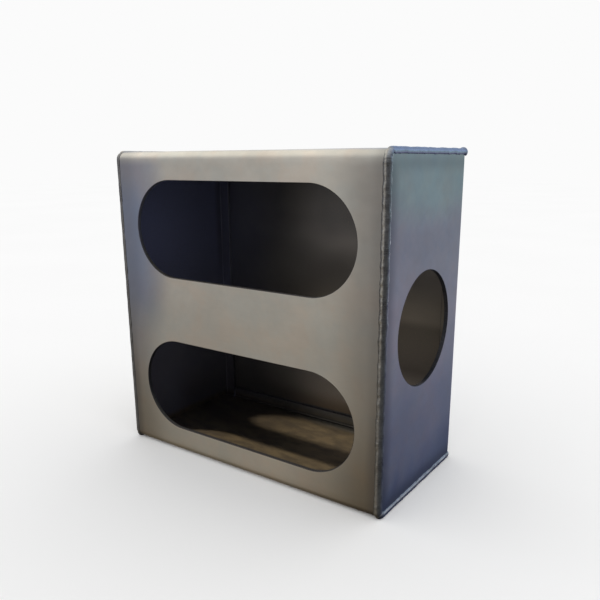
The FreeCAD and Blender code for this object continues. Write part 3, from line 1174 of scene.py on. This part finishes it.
def make_floor():
    """Large pale floor. Reflections in the steel look past it to the studio's soft gradient."""
    corners = [(x * FLOOR_REACH, y * FLOOR_REACH, 0) for x, y in ((-1, -1), (1, -1), (1, 1), (-1, 1))]
    material, n = new_material("pale_floor")
    shade = n.noise(n.place(), 3.0, 2.0, 0.5)
    darker, lighter = grey(FLOOR_ALBEDO - FLOOR_VARIATION), grey(FLOOR_ALBEDO + FLOOR_VARIATION)
    diffuse = n.add("ShaderNodeBsdfDiffuse")
    n.put(diffuse.inputs["Color"], n.ramp(shade, [(0.3, darker), (0.7, lighter)]))
    clear = n.add("ShaderNodeBsdfTransparent")
    mix = n.add("ShaderNodeMixShader")
    n.put(mix.inputs[0], n.ray_is("Glossy"))
    n.put(mix.inputs[1], diffuse.outputs[0])
    n.put(mix.inputs[2], clear.outputs[0])
    n.output(mix)
    floor = add_object("floor", corners, [[0, 1, 2, 3]], [material])
    floor.location.z = -FLOOR_GAP
    floor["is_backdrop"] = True


def make_world():
    """Even white light for the floor, and a soft gradient that the steel reflects.

    What the steel sees is warm and bright to the front left, dark behind the camera at the
    front right, cool at the back right and bright overhead.
    """
    world = bpy.data.worlds.new("studio")
    world.use_nodes = True
    bpy.context.scene.world = world
    n = Nodes(world.node_tree)
    x, y, z = n.parts(n.add("ShaderNodeTexCoord").outputs["Generated"])
    rise = n.math("MULTIPLY_ADD", z, 0.5, 0.5)
    front_left = n.ramp(rise, [
        (0.0, (0.04, 0.03, 0.02)),
        (0.25, (0.27, 0.22, 0.155)),
        (0.40, (0.57, 0.53, 0.465)),
        (0.50, (0.82, 0.785, 0.725)),
        (0.68, (0.70, 0.66, 0.595)),
        (0.84, (0.77, 0.72, 0.635)),
    ])
    front_right = n.ramp(rise, [
        (0.0, (0.03, 0.03, 0.03)),
        (0.40, (0.055, 0.055, 0.055)),
        (0.55, (0.08, 0.08, 0.085)),
        (0.75, (0.35, 0.37, 0.40)),
        (1.0, (0.65, 0.67, 0.70)),
    ])
    back_right = n.ramp(rise, [
        (0.0, (0.01, 0.01, 0.025)),
        (0.25, (0.03, 0.04, 0.085)),
        (0.38, (0.165, 0.165, 0.24)),
        (0.50, (0.18, 0.245, 0.26)),
        (0.65, (0.33, 0.42, 0.62)),
        (1.0, (0.60, 0.65, 0.72)),
    ])
    far_left = n.ramp(rise, [
        (0.0, (0.02, 0.015, 0.01)),
        (0.25, (0.10, 0.085, 0.06)),
        (0.40, (0.17, 0.16, 0.15)),
        (0.48, (0.15, 0.15, 0.165)),
        (0.58, (0.21, 0.215, 0.235)),
        (0.84, (1.10, 1.06, 0.93)),
    ])
    front_left = n.mix(n.span(x, -0.42, -0.92), front_left, far_left)
    diagonal = n.math("MULTIPLY_ADD", y, 0.6, x)
    toward_camera = n.math("SUBTRACT", n.product(x, 0.80), n.product(y, 0.60))
    seen_in_steel = n.mix(n.span(diagonal, -0.40, 0.25), front_left, back_right)
    seen_in_steel = n.mix(n.span(toward_camera, -0.20, 0.85), seen_in_steel, front_right)
    glossy_ray = n.ray_is("Glossy")
    colour = n.mix(glossy_ray, grey(PALE / FLOOR_ALBEDO), seen_in_steel)
    colour = n.mix(n.ray_is("Camera"), colour, grey(PALE))
    background = n.add("ShaderNodeBackground")
    n.put(background.inputs["Color"], colour)
    n.put(background.inputs["Strength"], n.math("MULTIPLY_ADD", glossy_ray, STEEL_BOOST - 1, 1.0))
    n.output(background, "ShaderNodeOutputWorld")
    world.cycles.sampling_method = "NONE"


def make_key_light():
    """Soft sun from the upper left front that lights the steel only, through the openings."""
    data = bpy.data.lights.new("key_light", "SUN")
    data.energy = KEY_STRENGTH
    data.angle = KEY_WIDTH
    data.color = KEY_COLOUR
    key = bpy.data.objects.new("key_light", data)
    bpy.context.scene.collection.objects.link(key)
    key.rotation_mode = "QUATERNION"
    key.rotation_quaternion = KEY_TRAVEL.to_track_quat("-Z", "Y")
    lit = bpy.data.collections.new("lit_by_key")
    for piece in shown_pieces():
        lit.objects.link(piece)
    key.light_linking.receiver_collection = lit
    key.visible_glossy = False


# The camera's place in box heights from the front left bottom corner, its aim, its focal length
# in frame widths, how far the frame is shifted, and the camera's plain settings.
CAMERA_PLACE = (1.726, -1.397, 0.971)
CAMERA_YAW = math.radians(35.36)
CAMERA_PITCH = math.radians(14.52)
CAMERA_ROLL = math.radians(-0.3)
FOCAL_IN_FRAMES = 1.053
FRAME_SHIFT = 0.0399
SENSOR_WIDTH = 36.0
NEAREST_SEEN = 10 * MM


def make_camera():
    """Camera to the right of the box and just below its top, looking left and a little down."""
    data = bpy.data.cameras.new("camera")
    data.sensor_width = SENSOR_WIDTH
    data.lens = FOCAL_IN_FRAMES * SENSOR_WIDTH
    data.shift_y = FRAME_SHIFT
    data.clip_start = NEAREST_SEEN
    camera = bpy.data.objects.new("camera", data)
    bpy.context.scene.collection.objects.link(camera)
    corner = Vector((-HALF_WIDTH, -HALF_DEPTH, 0))
    look = Vector((
        -math.sin(CAMERA_YAW) * math.cos(CAMERA_PITCH),
        math.cos(CAMERA_YAW) * math.cos(CAMERA_PITCH),
        -math.sin(CAMERA_PITCH),
    ))
    level = look.cross(Vector((0, 0, 1))).normalized()
    up = level.cross(look)
    right = level * math.cos(CAMERA_ROLL) + up * math.sin(CAMERA_ROLL)
    top = up * math.cos(CAMERA_ROLL) - level * math.sin(CAMERA_ROLL)
    turn = Matrix((right, top, -look)).transposed().to_4x4()
    camera.matrix_world = Matrix.Translation(corner + Vector(CAMERA_PLACE) * HEIGHT) @ turn
    bpy.context.scene.camera = camera


make_floor()
make_world()
make_key_light()
make_camera()
bpy.context.scene.view_settings.view_transform = "Standard"

bpy.context.view_layer.update()
